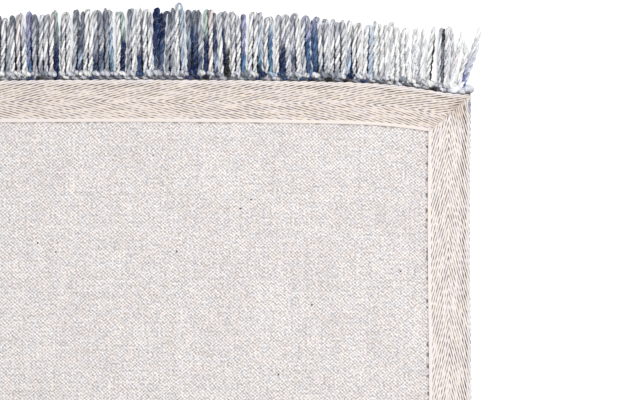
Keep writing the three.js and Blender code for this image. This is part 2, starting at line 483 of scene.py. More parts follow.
class Recipe:
    """The node tree of one material."""

    def __init__(self, name: str) -> None:
        """Starts an empty material of that name."""
        self.material = bpy.data.materials.new(name)
        self.material.use_nodes = True
        self.tree = self.material.node_tree
        self.tree.nodes.clear()

    def node(
        self,
        kind: str,
        settings: Mapping[str, object] | None = None,
        inputs: Mapping[str | int, object] | None = None,
    ) -> bpy.types.Node:
        """Adds a node.

        Args:
            kind: The node's type.
            settings: Its own settings by name.
            inputs: A value or link for each input, by its name, identifier or number.

        Returns:
            The node.
        """
        made = self.tree.nodes.new(kind)
        for name, value in (settings or {}).items():
            setattr(made, name, value)
        for name, value in (inputs or {}).items():
            self._feed(self.socket(made.inputs, name), value)
        return made

    @staticmethod
    def socket(sockets: bpy.types.bpy_prop_collection, name: str | int) -> Socket:
        """Finds one of a node's sockets.

        Args:
            sockets: The node's inputs or outputs.
            name: Its number, identifier or name.

        Returns:
            The socket.
        """
        if isinstance(name, int):
            return sockets[name]
        found = [socket for socket in sockets if socket.identifier == name]
        return found[0] if found else sockets[name]

    def _feed(self, socket: Socket, value: object) -> None:
        """Links an input to what feeds it, or sets its value.

        Args:
            socket: The input.
            value: A number, a colour, or what gives one.
        """
        if isinstance(value, Amount):
            self.tree.links.new(value.socket, socket)
        elif isinstance(value, Socket):
            self.tree.links.new(value, socket)
        elif isinstance(value, tuple) and len(value) == 3 and socket.type == "RGBA":
            socket.default_value = (*value, 1)
        else:
            socket.default_value = value

    def amount(
        self,
        kind: str,
        settings: Mapping[str, object] | None = None,
        inputs: Mapping[str | int, object] | None = None,
        output: str | int = 0,
    ) -> Amount:
        """Adds a node and gives one of its outputs as a number.

        Args:
            kind: The node's type.
            settings: Its own settings by name.
            inputs: A value or link for each input.
            output: The output's name or number.

        Returns:
            The number.
        """
        return Amount(self, self.node(kind, settings, inputs).outputs[output])

    def cut_place(self, name: str) -> tuple[Amount, Amount]:
        """Gives the two coordinates of a UV map.

        Args:
            name: The map's name.

        Returns:
            The number u and the number v.
        """
        uv = self.node("ShaderNodeUVMap", {"uv_map": name})
        parts = self.node("ShaderNodeSeparateXYZ", inputs={"Vector": uv.outputs["UV"]})
        return Amount(self, parts.outputs["X"]), Amount(self, parts.outputs["Y"])

    def told(self, name: str) -> bpy.types.Node:
        """Gives the node that reads an attribute of the piece."""
        return self.node("ShaderNodeAttribute", {"attribute_name": name})

    def point(self, *parts: Amount | float) -> Socket:
        """Puts up to three numbers together as a vector."""
        return self.node("ShaderNodeCombineXYZ", inputs=dict(enumerate(parts))).outputs[0]

    def noise(self, place: Socket, scale: float, detail: float = 2) -> Amount:
        """Gives cloudy noise, mostly from 0.3 to 0.7, at a place."""
        inputs = {"Vector": place, "Scale": scale, "Detail": detail}
        return self.amount("ShaderNodeTexNoise", None, inputs, "Fac")

    def mix(self, share: object, first: object, second: object, way: str = "MIX") -> object:
        """Mixes two colours.

        Args:
            share: How much of the second there is.
            first: The first colour, or what gives it.
            second: The second colour, or what gives it.
            way: How the second is laid over the first.

        Returns:
            The socket with the mixed colour.
        """
        inputs = {"Factor_Float": share, "A_Color": first, "B_Color": second}
        settings = {"data_type": "RGBA", "blend_type": way}
        mixer = self.node("ShaderNodeMix", settings, inputs)
        return self.socket(mixer.outputs, "Result_Color")

    def raised(self, height: Amount, depth: float, strength: float = 1) -> Socket:
        """Gives the normals of a surface that is raised by up to depth."""
        inputs = {"Height": height, "Distance": depth, "Strength": strength}
        return self.node("ShaderNodeBump", inputs=inputs).outputs["Normal"]

    def cloth(self, colour: Socket, normal: Socket, sheen: float, gloss: float = 0.2) -> Material:
        """Ends the tree as a matt cloth.

        Args:
            colour: What gives its colour.
            normal: What gives its normals.
            sheen: How much sheen its fibres have.
            gloss: Its specular level.

        Returns:
            The material.
        """
        look = {"Roughness": 0.9, "Specular_IOR_Level": gloss, "Sheen_Weight": sheen}
        return self.finish(Base_Color=colour, Normal=normal, **look)

    def finish(self, **inputs: object) -> Material:
        """Ends the tree with one Principled shader.

        Args:
            inputs: The shader's inputs by name, with _ for a space.

        Returns:
            The material.
        """
        named = {name.replace("_", " "): value for name, value in inputs.items()}
        shader = self.node("ShaderNodeBsdfPrincipled", inputs=named)
        self.node("ShaderNodeOutputMaterial", inputs={"Surface": shader.outputs["BSDF"]})
        return self.material


@dataclass(frozen=True)
class CanvasFinish:
    """Undyed plain weave, with dark flecks, faint clouds and painted shade in dark dashes along the
    seam of the tapes.
    """

    pale: Colour = dyed(243, 239, 238)
    shade: Colour = dyed(174, 169, 168)
    warm: Colour = dyed(255, 252, 249)
    cool: Colour = dyed(250, 251, 253)
    dull: Colour = dyed(250, 249, 249)
    fleck: Colour = dyed(78, 71, 68)
    warp_pitch: float = 1.8 * MM
    weft_pitch: float = 1.64 * MM
    thread_height: float = 0.35 * MM
    askew: float = 0.037
    slip: float = 1.5
    diagonal: float = 0.16
    weave_depth: float = 0.38
    thread_unevenness: float = 0.3
    fine_unevenness: float = 2.2
    mottling: float = 0.4
    threads: float = 420
    fleck_spacing: float = 120
    small_flecks: tuple[float, float] = (0.78, 0.35)
    large_flecks: tuple[float, float] = (0.85, 0.65)
    seam_x: float = 259.2 * MM
    seam_y: float = 340 * MM
    # how dark the painted shade along the seam gets, at the sides and at the ends
    side_seam_shade: float = 0.8
    end_seam_shade: float = 0.5

    def material(self) -> Material:
        """Makes the material. It reads the straight cut from the UV map named cut."""
        recipe = Recipe("canvas")
        u, v = recipe.cut_place("cut")
        place = recipe.point(u, v)
        slip = (recipe.noise(place, 160) - 0.5) * (self.slip * self.warp_pitch)
        warp = (u - v * self.askew + slip) * (math.pi / self.warp_pitch)
        weft = (v + u * self.askew + slip) * (math.pi / self.weft_pitch)
        twill = (warp + weft).math("COSINE") * self.diagonal
        over = warp.math("SINE") * weft.math("SINE") - twill
        ends = recipe.noise(recipe.point(u, v * 0.03), self.threads, 1)
        picks = recipe.noise(recipe.point(u * 0.03, v), self.threads, 1)
        uneven = (recipe.noise(place, 460, 3) - 0.5) * self.fine_unevenness
        mottled = (recipe.noise(place, 95, 2) - 0.5) * self.mottling
        slubs = (ends + picks - 1.0) * self.thread_unevenness
        tone = over * self.weave_depth + 0.5 + slubs + uneven + mottled
        weave = recipe.mix(tone.step(-0.15, 1.05), self.shade, self.pale)
        clouds = recipe.noise(place, 110, 3).step(0.35, 0.65)
        hue = recipe.mix(clouds, self.warm, self.cool)
        dim = recipe.mix(recipe.noise(place, 22, 2).step(0.35, 0.7), hue, self.dull, "MULTIPLY")
        tinted = recipe.mix(1.0, weave, dim, "MULTIPLY")
        inputs = {"Vector": place, "Scale": self.fleck_spacing}
        spots = recipe.node("ShaderNodeTexVoronoi", {"feature": "F1"}, inputs)
        chance = Amount(recipe, spots.outputs["Color"])
        small, large = (
            chance.math("GREATER_THAN", rarity) * depth
            for rarity, depth in (self.small_flecks, self.large_flecks)
        )
        near = 1.0 - Amount(recipe, spots.outputs["Distance"]).step(0.06, 0.17)
        # painted shade: broken dark dashes just inside the tapes' inner edges, for the shade of the
        # stitch holes and of the tape's edge
        by_side = 1.0 - (self.seam_x - u.math("ABSOLUTE")).step(1.2 * MM, 3.0 * MM)
        by_end = 1.0 - (self.seam_y - v.math("ABSOLUTE")).step(1.0 * MM, 2.2 * MM)
        seam = (by_side * self.side_seam_shade).math("MAXIMUM", by_end * self.end_seam_shade)
        seam_shade = seam * recipe.noise(place, 190, 1).step(0.47, 0.62)
        flecks = (small + large) * near
        colour = recipe.mix(flecks.math("MAXIMUM", seam_shade), tinted, self.fleck)
        return recipe.cloth(colour, recipe.raised(over, self.thread_height, 0.6), sheen=0.1)


@dataclass(frozen=True)
class HerringboneFinish:
    """Undyed herringbone tape: pale ridges with broken dark lines between them, partly its darker
    threads and partly painted shade in the grooves.
    """

    name: str
    pale: Colour
    # the dark lines: partly the tape's darker threads, partly painted shade in the grooves between the
    # ridges
    groove: Colour = dyed(52, 43, 38)
    warm: Colour = dyed(255, 248, 240)
    cool: Colour = dyed(248, 247, 252)
    # crease: painted shade, a yellow-brown darkening in the creases along the mitres and at the
    # pinched north-east corner
    crease: Colour = dyed(176, 150, 120)
    rim: Colour = dyed(231, 226, 222)
    selvedge: Colour = dyed(231, 227, 225)
    rim_start: float = 0.915
    edge_end: float = 0.1
    worn_end: float = 0.24
    worn_share: float = 0.5
    ridge_power: float = 1.3
    broken_share: float = 0.8
    fibre_share: float = 0.35
    crease_start: float = 0.4
    fibre_height: float = 0.12 * MM

    def material(self) -> Material:
        """Makes the material. In the UV map named weave, u counts ridges and v goes inwards."""
        recipe = Recipe(self.name)
        u, v = recipe.cut_place("weave")
        ridge = ((u.math("FRACT") - 0.5).math("ABSOLUTE") * 2.0) ** self.ridge_power
        ridges = recipe.point(u.math("FLOOR"), v * 14.0)
        dashes = recipe.noise(ridges, 2.3, 1).step(0.4, 0.56)
        rim = v.step(self.rim_start, self.rim_start + 0.015)
        edge = 1.0 - v.step(self.edge_end * 0.6, self.edge_end)
        worn = (1.0 - v.step(self.worn_end * 0.7, self.worn_end)) * self.worn_share
        broken = dashes * self.broken_share + (1 - self.broken_share) + worn * 0.4
        lines = ridge * broken * (1.0 - rim) * (1.0 - edge * 0.45)
        place = recipe.point(u * 0.22, v)
        floats = recipe.noise(recipe.point(u * 3.0, v * 60.0), 3.0, 2) - 0.5
        tone = (lines * (worn * 0.3 + 0.9) + floats * self.fibre_share).step(0.0, 1.0)
        plain = recipe.mix(edge, recipe.mix(rim * 0.8, self.pale, self.rim), self.selvedge)
        # the groove colour along the lines: darker threads and painted shade in the grooves
        woven = recipe.mix(tone, plain, self.groove)
        clouds = recipe.noise(place, 7, 3).step(0.35, 0.65)
        tinted = recipe.mix(1.0, woven, recipe.mix(clouds, self.warm, self.cool), "MULTIPLY")
        # painted shade in the creases: darkens and yellows the lines, and less so between them
        crease = Amount(recipe, recipe.told("crease").outputs["Fac"])
        crease_shade = crease * (lines * (1 - self.crease_start) + self.crease_start)
        colour = recipe.mix(crease_shade, tinted, self.crease, "MULTIPLY")
        raised = recipe.raised(floats - lines, self.fibre_height, 0.7)
        return recipe.cloth(colour, raised, sheen=0.05)


@dataclass(frozen=True)
class YarnFinish:
    """Twisted wool yarn in the colour that each point of the piece tells, its dye with painted shade,
    flecked like heather.
    """

    dark_fleck: float = 0.5
    pale_fleck: Colour = dyed(222, 224, 230)
    pale_share: float = 0.16
    dark_dye_share: float = 0.75
    hair_contrast: float = 0.26
    fibre_height: float = 0.25 * MM
    sheen: float = 0.08
    gloss: float = 0.1

    def material(self, name: str) -> Material:
        """Makes the material. It reads the attributes dye and fibre.

        Args:
            name: The material's name.

        Returns:
            The material.
        """
        recipe = Recipe(name)
        fibre = recipe.told("fibre").outputs["Vector"]
        dye = recipe.told("dye")
        depth = 1.0 - Amount(recipe, dye.outputs["Fac"]) * self.dark_dye_share
        tufts = recipe.noise(fibre, 1.6, 2)
        hairs = recipe.noise(fibre, 5.5, 3)
        dark = (1.0 - tufts.step(0.36, 0.52)) * depth * self.dark_fleck
        tone = (hairs - 0.5) * self.hair_contrast + (1.0 - dark)
        grey = recipe.node("ShaderNodeCombineColor", inputs={0: tone, 1: tone, 2: tone})
        lit = tufts.step(0.52, 0.66) * depth * self.pale_share
        heather = recipe.mix(lit, dye.outputs["Color"], self.pale_fleck)
        colour = recipe.mix(1.0, heather, grey.outputs["Color"], "MULTIPLY")
        raised = recipe.raised(hairs, self.fibre_height, 0.8)
        return recipe.cloth(colour, raised, self.sheen, self.gloss)


@dataclass(frozen=True)
class PlainFinish:
    """A plain matt finish, clouded a little."""

    colour: Colour
    shade: Colour
    grain: float = 900.0

    def material(self, name: str) -> Material:
        """Makes the material, on Object coordinates.

        Args:
            name: The material's name.

        Returns:
            The material.
        """
        recipe = Recipe(name)
        place = recipe.node("ShaderNodeTexCoord").outputs["Object"]
        cloud = recipe.noise(place, self.grain).step(0.3, 0.7)
        colour = recipe.mix(cloud, self.colour, self.shade)
        return recipe.finish(Base_Color=colour, Roughness=0.95)


@dataclass
class BackingCanvas:
    """The plain-weave canvas over the rug's back."""

    lay: ClothLay
    turn_in: float = 6 * MM
    bottom: float = 8.3 * MM
    thickness: float = 1 * MM
    columns: int = 60
    rows: int = 76
    ripple: float = 0.12 * MM
    ripple_length: float = 47 * MM

    def build(self, finish: CanvasFinish) -> Piece:
        """Args:
            finish: How it looks.

        Returns:
            The canvas.
        """
        width = 2 * (self.lay.half_width - self.turn_in)
        length = 2 * (self.lay.half_body - self.turn_in)
        piece = Bench.grid("canvas", self.columns, self.rows, width, length)
        cut = Bench.points(piece)
        Bench.map_points(piece, "cut", cut[:, :2])
        x, y = self.lay.place(cut[:, 0], cut[:, 1])
        across = np.sin(2 * math.pi * (x + 0.4 * y) / self.ripple_length)
        along = np.sin(2 * math.pi * (y - 0.3 * x) / (1.37 * self.ripple_length))
        z = self.bottom + self.ripple * (1 + 0.5 * (across + along))
        Bench.move(piece, np.column_stack([x, y, z]))
        Bench.thicken(piece, self.thickness, upwards=True)
        Bench.smooth(piece, 40)
        Bench.hand_over(piece, finish.material(), "canvas", ["backing_canvas"])
        return piece


@dataclass
class BindingTape:
    """One herringbone tape. It is modelled along +X with its outer edge to +Y, then turned."""

    name: str
    lay: ClothLay
    quarter_turns: int
    half_length: float
    outer_edge: float
    width: float = 40 * MM
    spine: float = 20.5 * MM
    top: float = 10.8 * MM
    thickness: float = 0.9 * MM
    repeat: float = 8.6 * MM
    twill_angle: float = math.radians(15)
    ridge_height: float = 0.3 * MM
    ridge_power: float = 2.5
    twill_fade: float = 0.4 * MM
    scallop: float = 0.75 * MM
    rim_height: float = 0.35 * MM
    rim_start: float = 36.6 * MM
    rim_middle: float = 38.3 * MM
    rim_roll: float = 1.2 * MM
    edge_drop: float = 0.45 * MM
    edge_roll: float = 1.6 * MM
    edge_unevenness: float = 0.25 * MM
    # painted shade in the creases along the mitres and at the pinched corner, told to the finish as
    # crease
    mitre_crease: float = 0.35
    mitre_crease_width: float = 1.5 * MM
    crease_shade_place: tuple[float, ...] = in_metres(11, 15)
    crease_shade_size: tuple[float, ...] = in_metres(8, 11)
    mitre_gap: float = 0.12 * MM
    steps_in_repeat: int = 6
    rows: tuple[float, ...] = (
        0, 0.7, 2, 4, 8, 12, 16, 19.5, 20.5, 21.5, 25, 29, 33, 36.2, 37, 38.2, 39.3, 40,
    )  # fmt: skip

    @property
    def slant(self) -> float:
        """How far a ridge runs along the tape while it crosses one unit of its width."""
        return 1 / math.tan(self.twill_angle)

    def build(self, material: Material) -> Piece:
        """Args:
            material: The woven finish.

        Returns:
            The tape.
        """
        piece = self._slanted_grid()
        outer = self.half_length - self.mitre_gap * math.sqrt(0.5)
        corner = self.outer_edge
        for way in (1, -1):
            Bench.cut(piece, (way * outer, corner, 0), (way, -1, 0), drop=True)
        self._weave(piece)
        Bench.thicken(piece, self.thickness, upwards=False)
        Bench.smooth(piece, 60)
        Bench.hand_over(piece, material, "tape", [self.name])
        flat = (2 * outer, self.width)
        area = self.width * (2 * outer - self.width)
        return piece

    def _slanted_grid(self) -> Piece:
        """Makes a level grid whose columns run along the ridges, past both mitres."""
        lead = self.slant * self.spine
        start = -self.half_length - lead
        span = 2 * self.half_length + lead
        columns = math.ceil(span / self.repeat * self.steps_in_repeat)
        piece = Bench.grid(self.name + "_cloth", columns, len(self.rows) - 1, columns, 1)
        grid = Bench.points(piece)
        column = np.round(grid[:, 0] + columns / 2)
        row = np.round((0.5 - grid[:, 1]) * (len(self.rows) - 1)).astype(int)
        inwards = np.array(self.rows)[row] * MM
        ridge = start + column * self.repeat / self.steps_in_repeat
        along = ridge + self.slant * np.abs(inwards - self.spine)
        flat = np.column_stack([along, self.outer_edge - inwards, np.zeros(len(grid))])
        Bench.move(piece, flat)
        return piece

    def _weave(self, piece: Piece) -> None:
        """Raises the ridges, scallops the outer edge, rolls the rim, and lays the tape."""
        flat = Bench.points(piece)
        along, inwards = flat[:, 0], self.outer_edge - flat[:, 1]
        ridges = (along - self.slant * np.abs(inwards - self.spine)) / self.repeat
        ridge = 1 - np.abs(2 * (ridges - np.floor(ridges)) - 1) ** self.ridge_power
        fade = self.twill_fade
        twill = 1 - soft_step(self.rim_start - fade, self.rim_start + fade, inwards)
        edge = np.exp(-inwards / self.edge_roll)
        rim = bump((inwards - self.rim_middle) / self.rim_roll)
        z = self.top - self.ridge_height * (1 - ridge) * twill
        z += self.rim_height * rim - self.edge_drop * edge
        uneven = self.edge_unevenness * hash_noise(np.floor(ridges), self.quarter_turns)
        sunk = (self.scallop * (1 - ridge) + uneven) * edge
        Bench.map_points(piece, "weave", np.column_stack([ridges, inwards / self.width]))
        out = self.outer_edge - inwards - sunk
        x, y = turned(along, out, -self.quarter_turns * math.pi / 2)
        Bench.tell(piece, "crease", "FLOAT", self._creases(x, y, along, inwards))
        x, y = self.lay.place_tape(x, y)
        Bench.move(piece, np.column_stack([x, y, z]))

    def _creases(self, x: Array, y: Array, along: Array, inwards: Array) -> Array:
        """Tells how much painted shade each point gets in the creases: along the mitres and at the
        pinched corner.

        Args:
            x: Places across the rug.
            y: Places along the rug.
            along: Places along the tape.
            inwards: Distances from the tape's outer edge.

        Returns:
            From 0 to 1 for each point.
        """
        from_mitre = (self.half_length - np.abs(along) - inwards) / math.sqrt(2)
        mitre = self.mitre_crease * bump(from_mitre / self.mitre_crease_width)
        # painted shade in the creases where the corner is pinched
        from_side = self.lay.half_width - x - self.crease_shade_place[0]
        from_end = self.lay.half_body - y - self.crease_shade_place[1]
        crease_shade = bump(from_side / self.crease_shade_size[0], from_end / self.crease_shade_size[1])
        return np.clip(np.maximum(mitre, crease_shade), 0, 1)


@dataclass
class Stitching:
    """The small stitches that hold the inner edges of the tapes down on the canvas."""

    lay: ClothLay
    spacing: float = 8.6 * MM
    length: float = 2.2 * MM
    thickness: float = 0.7 * MM
    height: float = 9.9 * MM
    edge: float = 40.4 * MM
    straying: float = 0.9 * MM
    turning: float = 0.35
    seed: int = 11

    def build(self, material: Material) -> Piece:
        """Makes all the stitches as one piece.

        Args:
            material: The thread's finish.

        Returns:
            The stitches.
        """
        shape, faces = Bench.take_apart(self._stitch())
        random.seed(self.seed)
        inner_x = self.lay.half_width - self.edge
        inner_y = self.lay.half_body - self.edge
        seats = []
        for half, other, sideways in ((inner_x, inner_y, False), (inner_y, inner_x, True)):
            count = round(2 * half / self.spacing)
            for way in (1, -1):
                for number in range(count):
                    along = -half + (number + 0.5) * 2 * half / count
                    along += random.uniform(-1, 1) * self.straying
                    turn = math.pi / 2 * sideways + random.uniform(-1, 1) * self.turning
                    place = (way * other, along) if sideways else (along, way * other)
                    seats.append((place, turn))
        points = []
        for place, turn in seats:
            x, y = turned(shape[:, 0], shape[:, 1], turn)
            laid = self.lay.place(place[0] + x, place[1] + y)
            points.append(np.column_stack([*laid, shape[:, 2] + self.height]))
        joined = repeated(faces, len(shape), len(seats))
        piece = Bench.joined("stitches", np.concatenate(points), joined)
        Bench.smooth(piece, 80)
        return Bench.hand_over(piece, material, "tape")

    def _stitch(self) -> Piece:
        """Models one stitch, a short bent roll of thread along Y."""
        Bench.clear()
        bpy.ops.mesh.primitive_uv_sphere_add(segments=8, ring_count=6, radius=0.5)
        stitch = bpy.context.object
        with Bench.editing(stitch):
            bpy.ops.transform.resize(value=(self.thickness, self.length, self.thickness))
        return stitch


@dataclass(frozen=True)
class StraightYarn:
    """Points and faces of a straight two-ply yarn, one unit long, that others are bent from."""

    points: Array
    faces: Faces
    ply: Array
    around: Array
    turns: float


@dataclass(frozen=True)
class Spinning:
    """How a two-ply yarn is spun."""

    ply_radius: float = 1.62 * MM
    ply_offset: float = 1.05 * MM
    sides: int = 8

    def spin(self, steps: int, turns: float) -> StraightYarn:
        """Models a straight yarn along +Z, one unit long.

        Args:
            steps: How many rings each ply has along its length.
            turns: How often the plies turn round each other.

        Returns:
            The yarn.
        """
        Bench.clear()
        bpy.ops.mesh.primitive_circle_add(
            vertices=self.sides, radius=self.ply_radius, location=(self.ply_offset, 0, 0)
        )
        ply = bpy.context.object
        bpy.ops.object.transform_apply(location=True)
        screw = ply.modifiers.new("twist", "SCREW")
        screw.angle = 2 * math.pi * turns
        screw.screw_offset = 1.0
        screw.steps = screw.render_steps = steps
        bpy.ops.object.modifier_apply(modifier=screw.name)
        with Bench.editing(ply):
            bpy.ops.mesh.fill_holes(sides=0)
            bpy.ops.mesh.select_all(action="SELECT")
            bpy.ops.mesh.normals_make_consistent(inside=False)
        one, faces = Bench.take_apart(ply)
        turn = one[:, 2] * 2 * math.pi * turns
        centre = self.ply_offset * np.column_stack([np.cos(turn), np.sin(turn)])
        around = np.arctan2(one[:, 1] - centre[:, 1], one[:, 0] - centre[:, 0]) - turn
        both = np.concatenate([one, one * (-1, -1, 1)])
        ply_number = np.repeat([0.0, 1.0], len(one))
        faces = repeated(faces, len(one), 2)
        return StraightYarn(both, faces, ply_number, np.concatenate([around, around]), turns)


@dataclass
class Strand:
    """One length of yarn as it lies: the route of its middle line and its dyes along it."""

    route: Array
    dyes: list[Dye]
    phase: float = 0.0
    twist: float = 1.0
    thickness: float = 1.0
    seed: int = 0
    marl: float = 0.1
    # The next three are painted shade: on the yarn's flanks and underside, in the crease between its
    # plies, and at the loop's tip.
    outline: float = 0.44
    crease: float = 0.58
    tip_shade: float = 0.15
    pinched: float = 0.0


class YarnPiece:
    """Many strands, bent from straight yarn and joined as one piece."""

    TIP_DENSITY = 0.5
    ROUTE_STEPS = 160
    SLUBS = ((0.07, 0.21, 1), (0.06, 0.083, 2))
    TWIST_UNEVENNESS = 0.7
    TWIST_PACE = 0.13
    FIBRE_PACE = 0.25
    PINCH_SHARPNESS = 9
    TIP_SHARPNESS = 14
    FLANK = (-0.45 * MM, 1.1 * MM)
    PATCHES = 0.12
    PATCH_PACE = 0.35
    DYE_WANDER = 0.05
    DYE_WANDER_PACE = 17
    PLY_SHIFT = 0.02
    CREASE = (-0.35, 0.8)
    FIBRE_LENGTH = 0.13
    FLOOR_CLEARANCE = 0.1 * MM

    def __init__(self, name: str, yarn: StraightYarn, strands: Sequence[Strand]) -> None:
        """Starts a piece of that name and lays its strands."""
        self.name = name
        self.yarn = yarn
        self.points: list[Array] = []
        self.dyes: list[Array] = []
        self.fibres: list[Array] = []
        for strand in strands:
            self._add(strand)

    def _add(self, strand: Strand) -> None:
        """Bends the straight yarn along a strand's route and dyes it.

        Args:
            strand: The strand.
        """
        middle, length = self.even_route(strand.route)
        straight = self.yarn.points[:, 2]
        share = straight + self.TIP_DENSITY * np.sin(2 * math.pi * straight) / (2 * math.pi)
        place = share * (len(middle) - 1)
        forward = np.gradient(middle, axis=0)
        forward /= np.linalg.norm(forward, axis=1, keepdims=True)
        across = np.array([1.0, 0, 0]) - forward * forward[:, :1]
        across /= np.linalg.norm(across, axis=1, keepdims=True)
        upright = np.cross(across, forward)
        at = [
            np.column_stack([np.interp(place, np.arange(len(middle)), part) for part in curve.T])
            for curve in (middle, across, upright)
        ]
        gone = share * length / MM
        slubs = 1.0
        for depth, pace, kind in self.SLUBS:
            slubs += depth * np.sin(gone * pace + kind * strand.seed)
        pinch = 1 - strand.pinched * bump((share - 0.5) * self.PINCH_SHARPNESS)
        size = (strand.thickness * slubs * pinch)[:, None]
        turn = strand.phase + 2 * math.pi * self.yarn.turns * (strand.twist * share - straight)
        turn += self.TWIST_UNEVENNESS * np.sin(self.TWIST_PACE * gone + strand.seed)
        x, y = turned(self.yarn.points[:, 0], self.yarn.points[:, 1], turn)
        skin = at[0] + size * (x[:, None] * at[1] + y[:, None] * at[2])
        skin[:, 2] = np.maximum(skin[:, 2], self.FLOOR_CLEARANCE)
        self.points.append(skin)
        # painted shade: the yarn darker on its flanks and underside than on its top
        flank = 1 - strand.outline * soft_step(*self.FLANK, -y * np.sign(at[2][:, 2]))
        self.dyes.append(self._dyed(strand, share, gone, flank))
        spun = self.yarn.around + self.FIBRE_PACE * gone
        across_fibres = np.cos(spun) + 9 * strand.seed, np.sin(spun) + 5 * self.yarn.ply
        self.fibres.append(np.column_stack([*across_fibres, gone * self.FIBRE_LENGTH]))

    @staticmethod
    def even_route(route: Array) -> tuple[Array, float]:
        """Draws a smooth curve through a route's points, in even steps.

        Args:
            route: The points, a row of three numbers for each.

        Returns:
            Points close together, and the curve's length.
        """
        ends = np.concatenate([[2 * route[0] - route[1]], route, [2 * route[-1] - route[-2]]])
        before, here, after, beyond = ends[:-3], ends[1:-2], ends[2:-1], ends[3:]
        spans = []
        for t in np.linspace(0, 1, 9)[:-1]:
            straight = 2 * here + (after - before) * t
            bend = (2 * before - 5 * here + 4 * after - beyond) * t**2
            turn = (3 * here - before - 3 * after + beyond) * t**3
            spans.append(0.5 * (straight + bend + turn))
        curve = np.concatenate([np.stack(spans, axis=1).reshape(-1, 3), route[-1:]])
        gone = np.concatenate([[0], np.cumsum(np.linalg.norm(np.diff(curve, axis=0), axis=1))])
        even = np.linspace(0, gone[-1], YarnPiece.ROUTE_STEPS)
        smooth = np.column_stack([np.interp(even, gone, part) for part in curve.T])
        return smooth, float(gone[-1])

    def _dyed(self, strand: Strand, share: Array, gone: Array, flank: Array) -> Array:
        """Works out the dye of every point of a strand, with painted shade in the crease between its
        plies, on its flanks and at the loop's tip.

        Args:
            strand: The strand.
            share: How far along it each point is, from 0 to 1.
            gone: The same in millimetres.
            flank: How bright the flanks and underside are beside the top, darkened as painted shade.

        Returns:
            A linear colour for each point.
        """
        stops = np.array([dye.value for dye in strand.dyes])
        wander = self.DYE_WANDER * np.sin(share * self.DYE_WANDER_PACE + strand.seed * 1.7)
        wander += self.PLY_SHIFT * self.yarn.ply
        place = np.clip(share + wander, 0, 1) * (len(stops) - 1)
        marks = np.arange(len(stops))
        colour = np.column_stack([np.interp(place, marks, part) for part in stops.T])
        marl = 1 + strand.marl * (2 * self.yarn.ply - 1)
        patches = 1 + self.PATCHES * np.sin(gone * self.PATCH_PACE + strand.seed * 2.3)
        # painted shade in the crease where the two plies meet
        crease = 1 - strand.crease * soft_step(*self.CREASE, -np.cos(self.yarn.around))
        tip = 1 - strand.tip_shade * bump((share - 0.5) * self.TIP_SHARPNESS)
        return np.clip(colour * (marl * patches * crease * flank * tip)[:, None], 0, 0.95)

    def build(self, material: Material, nodes: Sequence[str] = ()) -> Piece:
        """Joins the strands as one piece.

        Args:
            material: The yarn's finish.
            nodes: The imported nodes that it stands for.

        Returns:
            The piece.
        """
        faces = repeated(self.yarn.faces, len(self.yarn.points), len(self.points))
        piece = Bench.joined(self.name, np.concatenate(self.points), faces)
        Bench.dye(piece, np.concatenate(self.dyes), np.concatenate(self.fibres))
        Bench.smooth(piece, 70)
        return Bench.hand_over(piece, material, "fringe", nodes)


